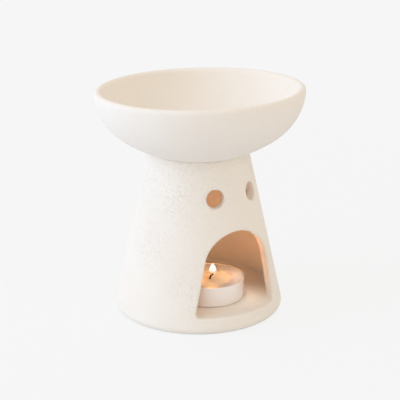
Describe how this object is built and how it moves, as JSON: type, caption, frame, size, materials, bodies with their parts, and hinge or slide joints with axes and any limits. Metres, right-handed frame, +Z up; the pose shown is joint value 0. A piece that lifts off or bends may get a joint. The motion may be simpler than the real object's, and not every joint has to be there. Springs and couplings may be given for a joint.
{
  "type": "essential oil burner",
  "caption": "Conical stoneware oil burner with an arched doorway, round vents, a loose bowl-shaped dish on its neck and a tealight inside.",
  "frame": {"origin": "centre of the foot, on the table", "axes": "+Z up; -Y is the way the doorway faces, so +X is to the right of someone who looks into the doorway"},
  "size_m": [0.1098, 0.1097, 0.1213],
  "materials": {
    "stand_stoneware": "unglazed, fine sandy grain",
    "dish_stoneware": "unglazed, smoothed",
    "cup_aluminium": "satin foil",
    "candle_wax": "soft, translucent",
    "melted_wax": "clear liquid, glossy",
    "charred_cotton": "burnt, matte",
    "tinned_steel": "bright"
  },
  "bodies": {
    "stand": {"burner_body": "stand_stoneware"},
    "dish": {"oil_dish": "dish_stoneware"},
    "tealight": {"tealight_cup": "cup_aluminium", "tealight_wax": "candle_wax", "melt_pool": "melted_wax", "wick": "charred_cotton", "wick_sustainer": "tinned_steel"}
  },
  "joints": [
    {"name": "dish_lift", "type": "slide", "parent": "stand", "child": "dish", "axis": [0, 0, 1], "range_m": [0, 0.06]},
    {"name": "tealight_slide", "type": "slide", "parent": "stand", "child": "tealight", "axis": [0, -1, 0], "range_m": [-0.02, 0.075]}
  ]
}
